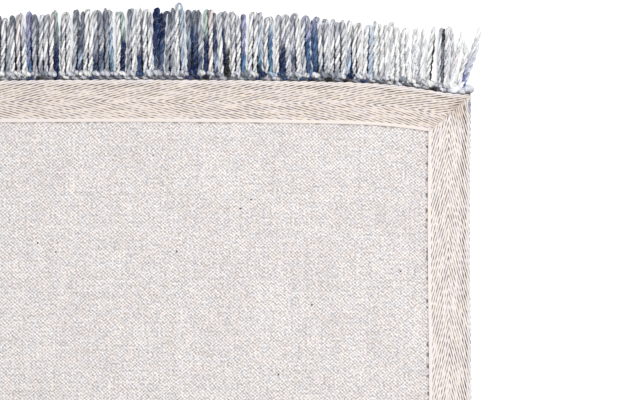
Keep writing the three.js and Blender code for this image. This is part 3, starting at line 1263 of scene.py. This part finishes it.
@dataclass
class Fuzz:
    """Loose wool hairs that stand out round the loops, mostly at their tips."""

    end: End
    hairs_on_strand: int = 34
    radius: float = 0.14 * MM
    shortest: float = 2.4 * MM
    longest: float = 5 * MM
    spread: float = 20
    tip_spread: float = 14
    root_margin: int = 6
    outward: float = 0.9
    curl: float = 0.35
    middle: float = 0.55
    seed: int = 21
    points_in_hair: int = 7
    skin: Faces = field(
        default_factory=lambda: [
            (0, 2, 1), (0, 1, 4, 3), (1, 2, 5, 4), (2, 0, 3, 5), (3, 4, 6), (4, 5, 6), (5, 3, 6),
        ]
    )  # fmt: skip

    def build(self, strands: Sequence[Strand], material: Material) -> Piece:
        """Makes all the hairs as one piece.

        Args:
            strands: The loops that they stand out from.
            material: The yarn's finish.

        Returns:
            The hairs.
        """
        chance = np.random.default_rng(self.seed)
        count = self.hairs_on_strand
        tip, last = YarnPiece.ROUTE_STEPS // 2, YarnPiece.ROUTE_STEPS - 1 - self.root_margin
        starts, outwards, dyes = [], [], []
        for strand in strands:
            route, _ = YarnPiece.even_route(strand.route)
            at = np.round(chance.normal(tip, self.spread, count))
            at = np.clip(at, self.root_margin, last).astype(int)
            starts.append(route[at])
            outwards.append(bump((at - tip) / self.tip_spread))
            dyes.append(np.where(chance.random((count, 1)) < 0.5, Dye.GREY.value, Dye.PEARL.value))
        start, outward = np.concatenate(starts), np.concatenate(outwards)
        angle = chance.uniform(0, 2 * math.pi, len(start))
        way = np.column_stack([np.cos(angle), np.sin(angle), chance.uniform(-0.3, 0.35, len(start))])
        way[:, 1] += self.end.value * outward * self.outward
        way /= np.linalg.norm(way, axis=1, keepdims=True)
        length = chance.uniform(self.shortest, self.longest, (len(start), 1))
        side = np.cross((0.0, 0.0, 1.0), way)
        side /= np.linalg.norm(side, axis=1, keepdims=True)
        curl = side * chance.uniform(-self.curl, self.curl, (len(start), 1)) * length
        rings = [start, start + way * length * self.middle, start + way * length + curl]
        for ring in rings:
            ring[:, 2] = np.maximum(ring[:, 2], 2 * self.radius)
        points = self._skinned(rings, way, side)
        faces = repeated(self.skin, self.points_in_hair, len(start))
        piece = Bench.joined(f"fuzz_{self.end.name.lower()}", points, faces)
        told = np.concatenate(dyes), start / MM
        Bench.dye(piece, *(np.repeat(values, self.points_in_hair, axis=0) for values in told))
        Bench.smooth(piece, 80)
        return Bench.hand_over(piece, material, "fringe")

    def _skinned(self, rings: list[Array], way: Array, side: Array) -> Array:
        """Gives every hair its three-sided skin, which ends in a point.

        Args:
            rings: The foot, the middle and the tip of every hair.
            way: The way that each hair goes.
            side: A direction square to it.

        Returns:
            Seven points for each hair.
        """
        upright = np.cross(way, side)
        points = np.empty((len(way), self.points_in_hair, 3))
        for corner in range(3):
            angle = 2 * math.pi * corner / 3
            around = self.radius * (math.cos(angle) * side + math.sin(angle) * upright)
            points[:, corner] = rings[0] + around
            points[:, corner + 3] = rings[1] + 0.85 * around
        points[:, 6] = rings[2]
        return points.reshape(-1, 3)


class Skein(Enum):
    """The space-dyed yarns, each by its dyes from the root of a loop to its tip."""

    CHALK = (Dye.PEARL, Dye.WHITE, Dye.WHITE, Dye.WHITE)
    MILK = (Dye.WHITE, Dye.WHITE, Dye.PEARL, Dye.WHITE)
    ASH = (Dye.GREY, Dye.PEARL, Dye.WHITE, Dye.PEARL)
    FLINT = (Dye.PEARL, Dye.GREY, Dye.PEARL, Dye.GREY)
    ROSE = (Dye.PEARL, Dye.BLUSH, Dye.WHITE, Dye.BLUSH)
    FROST = (Dye.PEARL, Dye.ICE, Dye.PEARL, Dye.ICE)
    RIME = (Dye.NAVY, Dye.ICE, Dye.PEARL, Dye.WHITE)
    SOOT = (Dye.CHARCOAL, Dye.CHARCOAL, Dye.WHITE, Dye.PEARL)
    MIDNIGHT = (Dye.GREY, Dye.SLATE, Dye.NAVY, Dye.NAVY)
    DUSK = (Dye.NAVY, Dye.NAVY, Dye.SLATE, Dye.GREY)
    PLUM = (Dye.INDIGO, Dye.NAVY, Dye.ICE, Dye.GREY)
    HARBOUR = (Dye.NAVY, Dye.NAVY, Dye.NAVY, Dye.MINT)
    STORM = (Dye.INDIGO, Dye.ICE, Dye.NAVY, Dye.GREY)
    STEEL = (Dye.NAVY, Dye.STEEL, Dye.STEEL, Dye.LAVENDER)
    PEWTER = (Dye.GREY, Dye.SLATE, Dye.PEARL, Dye.GREY)
    LAGOON = (Dye.ICE, Dye.TEAL, Dye.STEEL, Dye.ICE)
    FJORD = (Dye.NAVY, Dye.TEAL, Dye.ICE, Dye.PEARL)
    IRIS = (Dye.TEAL, Dye.STEEL, Dye.LAVENDER, Dye.LAVENDER)
    INK = (Dye.SLATE, Dye.NAVY, Dye.PEARL, Dye.WHITE)
    VIOLET = (Dye.CORNFLOWER, Dye.CORNFLOWER, Dye.PEARL, Dye.WHITE)
    PETAL = (Dye.PEARL, Dye.WHITE, Dye.BLUSH, Dye.WHITE)
    # painted shadow: a dark yarn for a low loop where shade falls between corner loops
    SHADOW = (Dye.CHARCOAL, Dye.GREY, Dye.GREY, Dye.CHARCOAL)


@dataclass(frozen=True)
class LoopShape:
    """How a loop lies, seen from above, with its first leg at the origin and +X to the east.

    The tip, middle and root spreads are how far the second leg lies from the first one there.
    """

    reach: float
    bow: float
    lean: float
    tip_spread: float
    middle_spread: float
    root_spread: float
    top: float
    low: float

    def route(self) -> list[tuple[float, float, float]]:
        """Gives the points of the loop's middle line, across, outwards and up."""
        reach, lean, top, low = self.reach, self.lean, self.top, self.low
        halfway = 0.4 * lean + self.bow
        tip_bend = 2.6 * MM
        return [
            (0.0, 2.5 * MM, 4.0 * MM),
            (0.0, 8.5 * MM, top - 0.3 * MM),
            (0.14 * lean + 0.6 * self.bow, 0.33 * reach, top + 0.2 * MM),
            (halfway, 0.56 * reach, top),
            (0.86 * lean + 0.3 * self.bow, 0.84 * reach, top - 0.1 * MM),
            (lean, reach - tip_bend, top - 0.5 * MM),
            (lean + 0.5 * self.tip_spread, reach - 0.2 * MM, 0.5 * (top + low)),
            (lean + self.tip_spread, reach - tip_bend, low + 0.2 * MM),
            (0.86 * lean + 0.5 * (self.tip_spread + self.middle_spread), 0.82 * reach, low),
            (halfway + self.middle_spread, 0.54 * reach, low),
            (0.1 * lean + self.root_spread, 0.25 * reach, low),
            (self.root_spread, 4 * MM, max(low - 1.5 * MM, 3.3 * MM)),
        ]


@dataclass(frozen=True)
class CornerLoop:
    """A loop at the very corner, where they part and lean out, by its root's place."""

    from_corner: float
    shape: LoopShape
    skein: Skein
    # below: the lower leg's dye; a grey or charcoal one is partly painted shade under the upper leg
    below: Dye
    thickness: float = 1.0
    # The next two are painted shade: on the loop's flanks and underside, and in the crease between its
    # plies.
    outline: float = 0.3
    crease: float = 0.3
    pinched: float = 0.0


@dataclass(frozen=True)
class Lump:
    """A thick bend of yarn over the roots at the very corner."""

    from_corner: float
    out: float
    half_length: float
    rise: float
    height: float
    thickness: float
    dye: Dye


@dataclass(frozen=True)
class StrayLoop:
    """A loop that stands out among its neighbours."""

    from_corner: float
    extra: float
    lean: float
    shift: float = 0.0


@dataclass
class Fringe:
    """The loops of one end, with the heading that they grow from."""

    lay: ClothLay
    end: End
    chart: tuple[tuple[int, Skein], ...] = ()
    corner: tuple[CornerLoop, ...] = ()
    lumps: tuple[Lump, ...] = ()
    strays: tuple[StrayLoop, ...] = ()
    pitch: float = 5.2 * MM
    shows: float = 8 * MM
    longest: float = 68 * MM
    shortest: float = 57 * MM
    swell_length: float = 520 * MM
    shortfall: float = 2.5 * MM
    unevenness: float = 1.4 * MM
    splay: float = 13 * MM
    splay_reach: float = 16 * MM
    wobble: float = 1.1 * MM
    drift: float = 1.3 * MM
    upper_height: float = 7.6 * MM
    lower_height: float = 3.3 * MM
    wide_share: float = 0.28
    bead_pitch: float = 8.3 * MM
    seed: int = 5
    pale_skeins: tuple[Skein, ...] = (
        Skein.CHALK, Skein.CHALK, Skein.MILK, Skein.ASH, Skein.ROSE, Skein.FLINT,
    )  # fmt: skip
    deep_skeins: tuple[Skein, ...] = (
        Skein.MIDNIGHT, Skein.DUSK, Skein.PLUM, Skein.HARBOUR, Skein.STORM, Skein.STEEL,
        Skein.PEWTER, Skein.LAGOON, Skein.FJORD, Skein.IRIS, Skein.INK,
    )  # fmt: skip
    deep_share: float = 0.4
    sunk_spread: Range = in_metres(1.5, 3)
    sunk_rise: Range = in_metres(0, 1)
    sunk_loss: Range = in_metres(1, 4)
    wide_spread: Range = (0.8, 1.05)
    wide_fall: Range = in_metres(0, 1.2)
    even_spread: Range = in_metres(1.6, 3.4)
    twists: Range = (0.85, 1.1)
    thicknesses: Range = (0.88, 1.04)
    marls: Range = (0.05, 0.22)
    pinches: Range = (0, 0.3)
    faint_loops: int = 14
    faint_shade: float = 0.05
    pale_loops: int = 19
    pale_shade: float = 0.22
    light_loops: int = 36
    near_dye_share: float = 0.55
    knot_lengths: Range = in_metres(2.1, 2.9)
    knot_rises: Range = in_metres(0.1, 0.9)
    knot_straying: float = 0.7 * MM
    knot_thicknesses: Range = (0.74, 1.1)
    knot_rows: tuple[tuple[float, float, float], ...] = (
        (2.0 * MM, 7.1 * MM, 0.9),
        (6.4 * MM, 7.8 * MM, 1.36),
    )
    heading_tuck: float = 6 * MM
    heading_height: float = 5.6 * MM
    _random: random.Random = field(init=False, repr=False)
    _skeins: list[Skein] = field(init=False, repr=False)

    def __post_init__(self) -> None:
        """Starts the fringe's own row of random numbers and chooses every loop's yarn."""
        self._random = random.Random(self.seed)
        charted = [skein for loops, skein in self.chart for _ in range(loops)]
        while len(charted) < self.count:
            deep = self._random.random() < self.deep_share
            charted.append(self._random.choice(self.deep_skeins if deep else self.pale_skeins))
        self._skeins = charted

    @property
    def count(self) -> int:
        """How many loops there are."""
        return round(2 * self.lay.half_width / self.pitch)

    def build(self, finish: YarnFinish, core: Material) -> list[Piece]:
        """Makes the loops, the row of knots at their roots, the fuzz and the heading's dark strip,
        whose dark grey is painted shadow.

        Args:
            finish: How the yarn looks.
            core: The finish of the heading's strip, dark grey as painted shadow.

        Returns:
            The four pieces.
        """
        name = self.end.name.lower()
        material = finish.material(f"yarn_{name}")
        strands = self._loops()
        long_yarn = Spinning().spin(steps=48, turns=-6.3)
        short_yarn = Spinning(1.7 * MM, 0.55 * MM, 8).spin(steps=9, turns=-0.4)
        loops = YarnPiece(f"loops_{name}", long_yarn, strands)
        knots = YarnPiece(f"knots_{name}", short_yarn, self._knots())
        made = [loops.build(material, [f"fringe_{name}"]), knots.build(material)]
        return [*made, Fuzz(self.end).build(strands, material), self._core(name, core)]

    def _reach(self, number: int, x: float) -> float:
        """Works out how far a loop reaches past the tape.

        Args:
            number: Its number from the east corner.
            x: Where its root is.

        Returns:
            Its reach, before what makes it stand out.
        """
        swell = (1 + math.cos(2 * math.pi * x / self.swell_length)) / 2
        even = self.shortest + (self.longest - self.shortest) * swell
        uneven = float(hash_noise(np.array(number), self.end.value))
        return even - self.shortfall * (1 + uneven) / 2 + self._random.uniform(-1, 1) * self.unevenness

    def _seat(self, x: float) -> tuple[float, float]:
        """Gives the laid place of the tape's outer edge there."""
        laid = self.lay.place(np.array([x]), np.array([self.end.value * self.lay.half_body]))
        return float(laid[0][0]), float(laid[1][0])

    def _laid(self, x: float, route: Sequence[tuple[float, float, float]]) -> Array:
        """Puts a route of places across, outwards and up at a place of the edge."""
        seat_x, seat_y = self._seat(x)
        return np.array([(seat_x + u, seat_y + self.end.value * v, z) for u, v, z in route])

    def _loops(self) -> list[Strand]:
        """Lays all the loops, from the east corner on."""
        strands = []
        half = self.lay.half_width
        parted = max((loop.from_corner for loop in self.corner), default=-1.0)
        for number, loop in enumerate(self.corner):
            route = self._laid(half - loop.from_corner, loop.shape.route())
            strand = self._spun(route, loop.skein, number + CORNER_NUMBERS, loop.thickness)
            strand.dyes[5:] = [loop.below] * 3
            strand.outline, strand.crease = loop.outline, loop.crease
            strand.pinched = loop.pinched
            strands.append(strand)
        beside_wide = False
        for number in range(self.count):
            from_corner = (number + 0.5) * 2 * half / self.count
            wide = not beside_wide and self._random.random() < self.wide_share
            shape = self._shape(number, half - from_corner, wide, beside_wide)
            shift = sum(stray.shift for stray in self._strays_at(from_corner))
            route = self._laid(half - from_corner + shift, shape.route())
            strand = self._spun(route, self._skeins[number], number)
            if wide:
                beyond = self._skeins[min(number + 1, self.count - 1)].value
                strand.dyes[4:] = reversed(beyond)
            if from_corner > parted + 0.5 * self.pitch:
                strands.append(strand)
            beside_wide = wide
        return strands

    def _strays_at(self, from_corner: float) -> list[StrayLoop]:
        """Finds what makes the loop at that place stand out."""
        near = 0.5 * self.pitch
        return [stray for stray in self.strays if abs(stray.from_corner - from_corner) < near]

    def _shape(self, number: int, x: float, wide: bool, sunk: bool) -> LoopShape:
        """Shapes one of the even loops.

        Args:
            number: Its number from the east corner.
            x: Where its root is.
            wide: Whether both its legs lie on top, over the next loop.
            sunk: Whether it lies under the loop before it.

        Returns:
            Its shape.
        """
        draw = self._random.uniform
        from_side = self.lay.half_width - abs(x)
        lean = math.copysign(self.splay * math.exp(-from_side / self.splay_reach), x)
        lean += self.drift * (math.sin(0.37 * number + self.seed) + 0.7 * math.sin(0.83 * number))
        reach = self._reach(number, x)
        for stray in self._strays_at(self.lay.half_width - x):
            lean, reach = lean + stray.lean, reach + stray.extra
        bow = draw(-1, 1) * self.wobble
        lean += draw(-1, 1) * self.wobble
        top = self.upper_height + draw(-0.5, 0.5) * MM
        low = self.lower_height
        if sunk:
            spread, tip_share = draw(*self.sunk_spread), 1
            top = low + draw(*self.sunk_rise)
            reach -= draw(*self.sunk_loss)
        elif wide:
            spread, tip_share = -self.pitch * draw(*self.wide_spread), 0.85
            low = top - draw(*self.wide_fall)
        else:
            spread, tip_share = draw(*self.even_spread) * self._random.choice((-1, 1, 1)), 0.7
        return LoopShape(reach, bow, lean, tip_share * spread, spread, spread, top, low)

    def _spun(self, route: Array, skein: Skein, number: int, thickness: float = 1) -> Strand:
        """Makes a loop's strand of its yarn.

        Args:
            route: Where it lies.
            skein: Its yarn.
            number: Its number, which its slubs and flecks follow.
            thickness: How thick it is beside the others.

        Returns:
            The strand.
        """
        draw = self._random.uniform
        pick = self._random.choice
        dyes = list(skein.value)
        pale = number < self.pale_loops or number >= CORNER_NUMBERS
        if pale:
            below = [dyes[-1], Dye.WHITE, Dye.WHITE, Dye.PEARL]
        else:
            # painted shade: the white tip of a loop turns pearl or grey, greyer away from the corner,
            # where the tip bends down
            if dyes[-1] is Dye.WHITE:
                dim = Dye.PEARL if number < self.light_loops else Dye.GREY
                dyes[-1] = pick((dim, Dye.PEARL, Dye.PEARL, Dye.WHITE))
            # the lower leg goes grey to charcoal: partly its yarn, partly painted shade under the
            # upper legs
            below = [dyes[-1], pick((Dye.GREY, Dye.GREY, Dye.SLATE))]
            below += [pick((Dye.CHARCOAL, Dye.NAVY, Dye.SLATE)), Dye.CHARCOAL]
        strand = Strand(
            route,
            [*dyes, *below],
            phase=draw(0, 2 * math.pi),
            twist=draw(*self.twists),
            thickness=thickness * draw(*self.thicknesses),
            seed=number + 1,
            marl=draw(*self.marls),
            pinched=draw(*self.pinches),
        )
        if pale:
            shade = self.faint_shade if number < self.faint_loops else self.pale_shade
            strand.outline, strand.crease, strand.tip_shade = shade, shade, self.faint_shade
        return strand

    def _knots(self) -> list[Strand]:
        """Lays the short bends of yarn over the roots of the loops, a bright row and a dim row by the
        tape whose dark dyes are painted shade.
        """
        strands = []
        half = self.lay.half_width
        count = round(2 * half / self.bead_pitch)
        covered = max((lump.from_corner for lump in self.lumps), default=0)
        draw = self._random.uniform
        pale = (Dye.WHITE, Dye.PEARL, Dye.PEARL, Dye.GREY, Dye.WHITE)
        # painted shade: the row by the tape takes dark dyes where it is not dyed like its loop
        dim = (Dye.GREY, Dye.CHARCOAL, Dye.SLATE, Dye.GREY, Dye.GREY)
        for row, (out, height, thickness) in enumerate(self.knot_rows):
            for index in range(count):
                from_corner = (index + 0.3 + 0.5 * row) * 2 * half / count
                middle = out + draw(-1, 1) * self.knot_straying
                half_length, rise = draw(*self.knot_lengths), draw(*self.knot_rises)
                route = self._bend(half_length, middle, rise, height)
                near = self._skeins[min(int(from_corner / self.pitch), self.count - 1)].value[0]
                near_dye = draw(0, 1) < self.near_dye_share
                dye = near if near_dye else self._random.choice(pale if row else dim)
                knot = Strand(self._laid(half - from_corner, route), [dye, dye], tip_shade=0)
                knot.phase = draw(0, 2 * math.pi)
                knot.thickness = thickness * draw(*self.knot_thicknesses)
                knot.seed = KNOT_NUMBERS + index + 100 * row
                if from_corner > covered:
                    strands.append(knot)
        for number, lump in enumerate(self.lumps, start=LUMP_NUMBERS):
            bends = self._bend(lump.half_length, lump.out, lump.rise, lump.height)
            knot = Strand(self._laid(half - lump.from_corner, bends), [lump.dye] * 2, seed=number)
            knot.thickness, knot.tip_shade, knot.outline = lump.thickness, 0, 0.35
            strands.append(knot)
        return strands

    @staticmethod
    def _bend(
        half_length: float, out: float, rise: float, height: float
    ) -> list[tuple[float, float, float]]:
        """Gives the points of a short bend of yarn over the roots.

        Args:
            half_length: Half its length across.
            out: How far its middle is from the tape.
            rise: How much closer to the tape its east end is.
            height: The height of its middle.

        Returns:
            The points across, outwards and up.
        """
        falls = ((-1, 3.8), (-0.6, 0.9), (0, 0), (0.6, 0.9), (1, 3.8))
        return [(at * half_length, out - at * rise, height - fall * MM) for at, fall in falls]

    def _core(self, name: str, material: Material) -> Piece:
        """Makes the narrow strip of the rug's edge that the loops grow from, dark grey as painted
        shadow under the roots and the tape's edge.

        Args:
            name: The end's name.
            material: Its finish.

        Returns:
            The strip.
        """
        depth = self.heading_tuck + self.shows - 1 * MM
        piece = Bench.grid(f"heading_{name}", 150, 4, 2 * self.lay.half_width - 2 * MM, depth)
        flat = Bench.points(piece)
        out = self.lay.half_body - self.heading_tuck + depth / 2 + flat[:, 1]
        x, y = self.lay.place(flat[:, 0], self.end.value * out)
        Bench.move(piece, np.column_stack([x, y, np.full(len(flat), 0.5 * MM)]))
        rise = {"value": (0, 0, self.heading_height)}
        with Bench.editing(piece):
            bpy.ops.mesh.extrude_region_move(TRANSFORM_OT_translate=rise)
            bpy.ops.mesh.select_all(action="SELECT")
            bpy.ops.mesh.normals_make_consistent(inside=False)
        Bench.smooth(piece, 50)
        return Bench.hand_over(piece, material, "fringe")


@dataclass
class WoolFace:
    """The woven wool face below, in thick weft rows that turn back at both sides."""

    lay: ClothLay
    length: float = 747.4 * MM
    thickness: float = 8 * MM
    row_pitch: float = 6 * MM
    row_depth: float = 1.1 * MM
    turn_height: float = 0.9 * MM
    columns: int = 44
    steps_in_row: int = 4
    bulge: float = 1.9 * MM
    slub_depth: float = 0.25
    dye_length: float = 70 * MM
    edging_width: float = 14 * MM
    edging_share: float = 0.92
    edging_depth: float = 0.6
    grey_length: float = 30 * MM
    seed: int = 3

    def build(self, finish: YarnFinish) -> Piece:
        """Args:
            finish: How its yarn looks.

        Returns:
            The wool face.
        """
        width = 2 * self.lay.half_width
        count = round(self.length / self.row_pitch)
        rows = count * self.steps_in_row
        piece = Bench.grid("woven_wool", self.columns, rows, width, self.length)
        Bench.thicken(piece, self.thickness, upwards=True)
        for height in (0.2, 0.5, 0.8):
            Bench.cut(piece, (0, 0, height * self.thickness), (0, 0, 1), drop=False)
        cut = Bench.points(piece)
        row = (cut[:, 1] / self.length + 0.5) * count
        rib = np.abs(np.sin(math.pi * row))
        number = np.floor(np.clip(row, 0, count - 0.001))
        slub = 1 + self.slub_depth * np.sin(cut[:, 0] / MM * 0.09 + 2.1 * number)
        sunk = self.row_depth * (1 - rib) * slub
        level = cut[:, 2] / self.thickness
        z = cut[:, 2] + np.where(level < 0.01, sunk, 0) - np.where(level > 0.99, sunk, 0)
        at_side = np.abs(cut[:, 0]) > self.lay.half_width - 1e-5
        round_in = self.bulge * (2 * level - 1) ** 2 + self.turn_height * (1 - rib)
        x = cut[:, 0] - np.sign(cut[:, 0]) * np.where(at_side, round_in, 0)
        laid_x, laid_y = self.lay.place(x, cut[:, 1])
        Bench.move(piece, np.column_stack([laid_x, laid_y, z]))
        spun = 2.2 * row + cut[:, 0] / MM * 0.22
        fibre = [np.cos(spun) + 7 * number, np.sin(spun), cut[:, 0] / MM * 0.05]
        Bench.dye(piece, self._dyes(cut[:, 0], number, count), np.column_stack(fibre))
        Bench.smooth(piece, 60)
        Bench.hand_over(piece, finish.material("woven_wool"), "wool", ["wool_face"])
        return piece

    def _dyes(self, across: Array, number: Array, count: int) -> Array:
        """Works out the dye of every point: each row changes its dye as it crosses the rug, turns grey
        at the sides, and greyer by the north-east corner as painted shade.

        Args:
            across: Places across the rug.
            number: The row that each point is in, from the south.
            count: How many rows there are.

        Returns:
            A linear colour for each point.
        """
        chart = (Dye.WHITE, Dye.PEARL, Dye.GREY, Dye.PEARL, Dye.STEEL, Dye.ICE, Dye.WHITE,
                 Dye.NAVY, Dye.SLATE, Dye.PEARL, Dye.BLUSH, Dye.GREY)  # fmt: skip
        stops = np.array([dye.value for dye in chart])
        start = 6 * (1 + hash_noise(number, self.seed))
        place = (start + across / self.dye_length + 20) % len(stops)
        before = np.floor(place).astype(int)
        share = soft_step(0.3, 0.7, place - before)[:, None]
        colour = stops[before] * (1 - share) + stops[(before + 1) % len(stops)] * share
        half = self.lay.half_width
        at_edge = self.edging_share * soft_step(half - self.edging_width, half, np.abs(across))
        # painted shade: the east side greys towards the north end
        shaded = bump((count - number) * self.row_pitch / self.grey_length) * (across > 0)
        edge_dye_and_shade = np.array(Dye.PEARL.value) * self.edging_depth
        edge_dye_and_shade = (1 - shaded)[:, None] * edge_dye_and_shade + shaded[:, None] * Dye.GREY.value
        return colour + (edge_dye_and_shade - colour) * at_edge[:, None]


@dataclass(frozen=True)
class Studio:
    """The floor, the light and the camera, which looks straight down as the photograph does."""

    millimetres_in_pixel: float = 0.952
    frame_width: int = 631
    frame_height: int = 400
    corner_column: float = 471.4
    tape_row: float = 79.5
    camera_height: float = 4.0
    sensor: float = 36.0
    floor_size: float = 8.0
    floor_level: float = -0.4 * MM
    floor_colour: Colour = dyed(253, 253, 253)
    key_place: tuple[float, float, float] = (0.75, 0.6, 2.2)
    key_energy: float = 40.5
    key_size: float = 2.0
    sky_strength: float = 0.67
    glow: float = 0.4

    def build(self, lay: ClothLay) -> None:
        """Makes the floor, the lights and the camera.

        Args:
            lay: How the rug lies, which the camera is aimed by.
        """
        self._floor()
        self._lights()
        self._camera(lay)
        bpy.context.scene.view_settings.view_transform = "Standard"

    def _floor(self) -> None:
        """Lays a pale floor just under the rug."""
        Bench.clear()
        bpy.ops.mesh.primitive_grid_add(x_subdivisions=4, y_subdivisions=4, size=self.floor_size)
        floor = bpy.context.object
        floor.name = "floor"
        floor.location.z = self.floor_level
        lit = {"Emission_Color": (1.0, 1.0, 1.0), "Emission_Strength": self.glow}
        finish = Recipe("floor").finish(Base_Color=self.floor_colour, Roughness=0.95, **lit)
        floor.data.materials.append(finish)

    def _lights(self) -> None:
        """Hangs one wide softbox beyond the photo's corner, aimed at the rug, under a pale sky."""
        light = bpy.data.lights.new("softbox", "AREA")
        light.shape, light.size, light.energy = "SQUARE", self.key_size, self.key_energy
        softbox = bpy.data.objects.new("softbox", light)
        softbox.location = self.key_place
        softbox.rotation_euler = (-softbox.location).to_track_quat("-Z", "Y").to_euler()
        bpy.context.scene.collection.objects.link(softbox)
        world = bpy.data.worlds.new("sky")
        world.use_nodes = True
        sky = world.node_tree.nodes["Background"].inputs
        sky["Strength"].default_value = self.sky_strength
        sky["Color"].default_value = (1, 1, 1, 1)
        bpy.context.scene.world = world

    def _camera(self, lay: ClothLay) -> None:
        """Hangs a camera with a long lens over the middle of the photograph's frame.

        Args:
            lay: How the rug lies.
        """
        scale = self.millimetres_in_pixel * MM
        x = lay.half_width + (self.frame_width / 2 - self.corner_column) * scale
        y = lay.half_body - (self.frame_height / 2 - self.tape_row) * scale
        data = bpy.data.cameras.new("camera")
        data.sensor_width = self.sensor
        data.lens = self.sensor * self.camera_height / (self.frame_width * scale)
        data.clip_end = 50
        camera = bpy.data.objects.new("camera", data)
        camera.location = (x, y, self.camera_height)
        bpy.context.scene.collection.objects.link(camera)
        bpy.context.scene.camera = camera


CORNER_LOOPS = (
    CornerLoop(
        7.5 * MM, LoopShape(*in_metres(64.5, 1.2, 14.5, 0.6, 2.2, 0.6, 7.6, 6.8)),
        Skein.VIOLET, Dye.PEARL, 1.12, outline=0.6, crease=0.12, pinched=0.35,
    ),
    CornerLoop(
        12 * MM, LoopShape(*in_metres(35, 0, 5, 1, 2, 1, 5.6, 4.6)),
        Skein.CHALK, Dye.GREY, outline=0.6, crease=0.4,
    ),
    CornerLoop(
        18.6 * MM, LoopShape(*in_metres(59, 0.4, 9, 0.2, 8.6, 6.6, 7.8, 7.4)),
        Skein.PETAL, Dye.WHITE, 1.08, outline=0.5, crease=0.18, pinched=0.5,
    ),
    CornerLoop(
        25 * MM, LoopShape(*in_metres(62, 0.4, 2.2, 3.6, 5.6, 5.2, 7.9, 7.5)),
        Skein.MILK, Dye.PEARL, outline=0.5, crease=0.36,
    ),
    # painted shadow: a thin dark loop laid low between its neighbours
    CornerLoop(
        28.4 * MM, LoopShape(*in_metres(60.5, 0, 1.2, 0.4, 0.4, 0.4, 4.2, 3.2)),
        Skein.SHADOW, Dye.CHARCOAL, 0.8, outline=0.5,
    ),
    CornerLoop(
        31 * MM, LoopShape(*in_metres(60, -0.4, 1.4, 1, 1, 1, 7, 3.2)),
        Skein.ASH, Dye.GREY, 0.74, outline=0.6, crease=0.55, pinched=0.3,
    ),
    CornerLoop(
        42 * MM, LoopShape(*in_metres(60, 0, 5.4, 0.8, 1.6, 1.4, 7.6, 3.4)),
        Skein.CHALK, Dye.CHARCOAL, 1.12, outline=0.6, crease=0.45, pinched=0.4,
    ),
    CornerLoop(
        48.6 * MM, LoopShape(*in_metres(56, 1.1, 4, -1.2, -2.2, -2.4, 7.6, 3.4)),
        Skein.CHALK, Dye.PEARL, outline=0.1, crease=0.12,
    ),
)  # fmt: skip

CORNER_LUMPS = (
    Lump(*in_metres(14.4, 4.2, 6.2, -0.7, 6.4), 2.2, Dye.PEARL),
    Lump(*in_metres(6.4, 4.8, 4.9, -0.4, 6.4), 2.2, Dye.PEARL),
    Lump(*in_metres(8.4, 9.8, 4.4, -0.8, 6), 1.7, Dye.WHITE),
    Lump(*in_metres(19.8, 7.8, 4.2, 0.8, 7.4), 1.8, Dye.WHITE),
)

PHOTO_CHART = (
    (10, Skein.CHALK), (2, Skein.MILK), (2, Skein.CHALK), (1, Skein.MILK), (3, Skein.CHALK),
    (1, Skein.FROST), (1, Skein.CHALK), (1, Skein.ROSE), (1, Skein.CHALK), (1, Skein.RIME),
    (1, Skein.CHALK), (4, Skein.ASH), (2, Skein.STEEL), (1, Skein.ASH), (1, Skein.CHALK),
    (1, Skein.PEWTER), (1, Skein.ASH), (1, Skein.INK), (1, Skein.CHALK), (1, Skein.LAGOON),
    (1, Skein.CHALK), (1, Skein.FJORD), (2, Skein.CHALK), (1, Skein.IRIS), (1, Skein.CHALK),
    (1, Skein.MILK), (1, Skein.SOOT), (1, Skein.CHALK), (1, Skein.STORM), (1, Skein.ROSE),
    (1, Skein.HARBOUR), (1, Skein.PEWTER), (1, Skein.DUSK), (1, Skein.PLUM), (1, Skein.FROST),
    (1, Skein.CHALK), (2, Skein.FLINT), (2, Skein.MIDNIGHT), (2, Skein.CHALK),
)  # fmt: skip

PHOTO_STRAYS = (
    StrayLoop(*in_metres(75.6, 3.5, 0)),
    StrayLoop(*in_metres(164.4, 3, -1)),
    StrayLoop(*in_metres(274, 5, -1)),
    StrayLoop(*in_metres(294.8, 0, 0, -2.8)),
)


def main() -> None:
    """Builds the rug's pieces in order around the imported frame."""
    logging.basicConfig(level=logging.INFO, format="%(name)s: %(message)s")
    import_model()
    lay = ClothLay()
    yarn = YarnFinish()
    WoolFace(lay).build(yarn)
    BackingCanvas(lay).build(CanvasFinish())
    end_tape = HerringboneFinish("end_tape", dyed(230, 222, 216), worn_share=0.35).material()
    side_tape = HerringboneFinish(
        "side_tape", dyed(237, 231, 227), warm=dyed(255, 249, 243), worn_share=0.5
    ).material()
    inset = 0.8 * MM
    across, along = lay.half_width - inset, lay.half_body
    for turns, name in enumerate(("tape_north", "tape_east", "tape_south", "tape_west")):
        half, edge = (along, across) if turns % 2 else (across, along)
        BindingTape(name, lay, turns, half, edge).build(side_tape if turns % 2 else end_tape)
    thread = PlainFinish(dyed(238, 230, 220), dyed(196, 186, 172)).material("thread")
    Stitching(lay).build(thread)
    # painted shadow: the heading strip's dark grey stands for the shade under the roots and the tape's
    # edge
    core = PlainFinish(dyed(120, 116, 120), dyed(70, 68, 74), 400.0).material("felted_core")
    shown = Fringe(lay, End.NORTH, PHOTO_CHART, CORNER_LOOPS, CORNER_LUMPS, PHOTO_STRAYS, seed=13)
    shown.build(yarn, core)
    Fringe(lay, End.SOUTH, seed=8).build(yarn, core)
    Studio().build(lay)


if __name__ == "__main__":
    main()
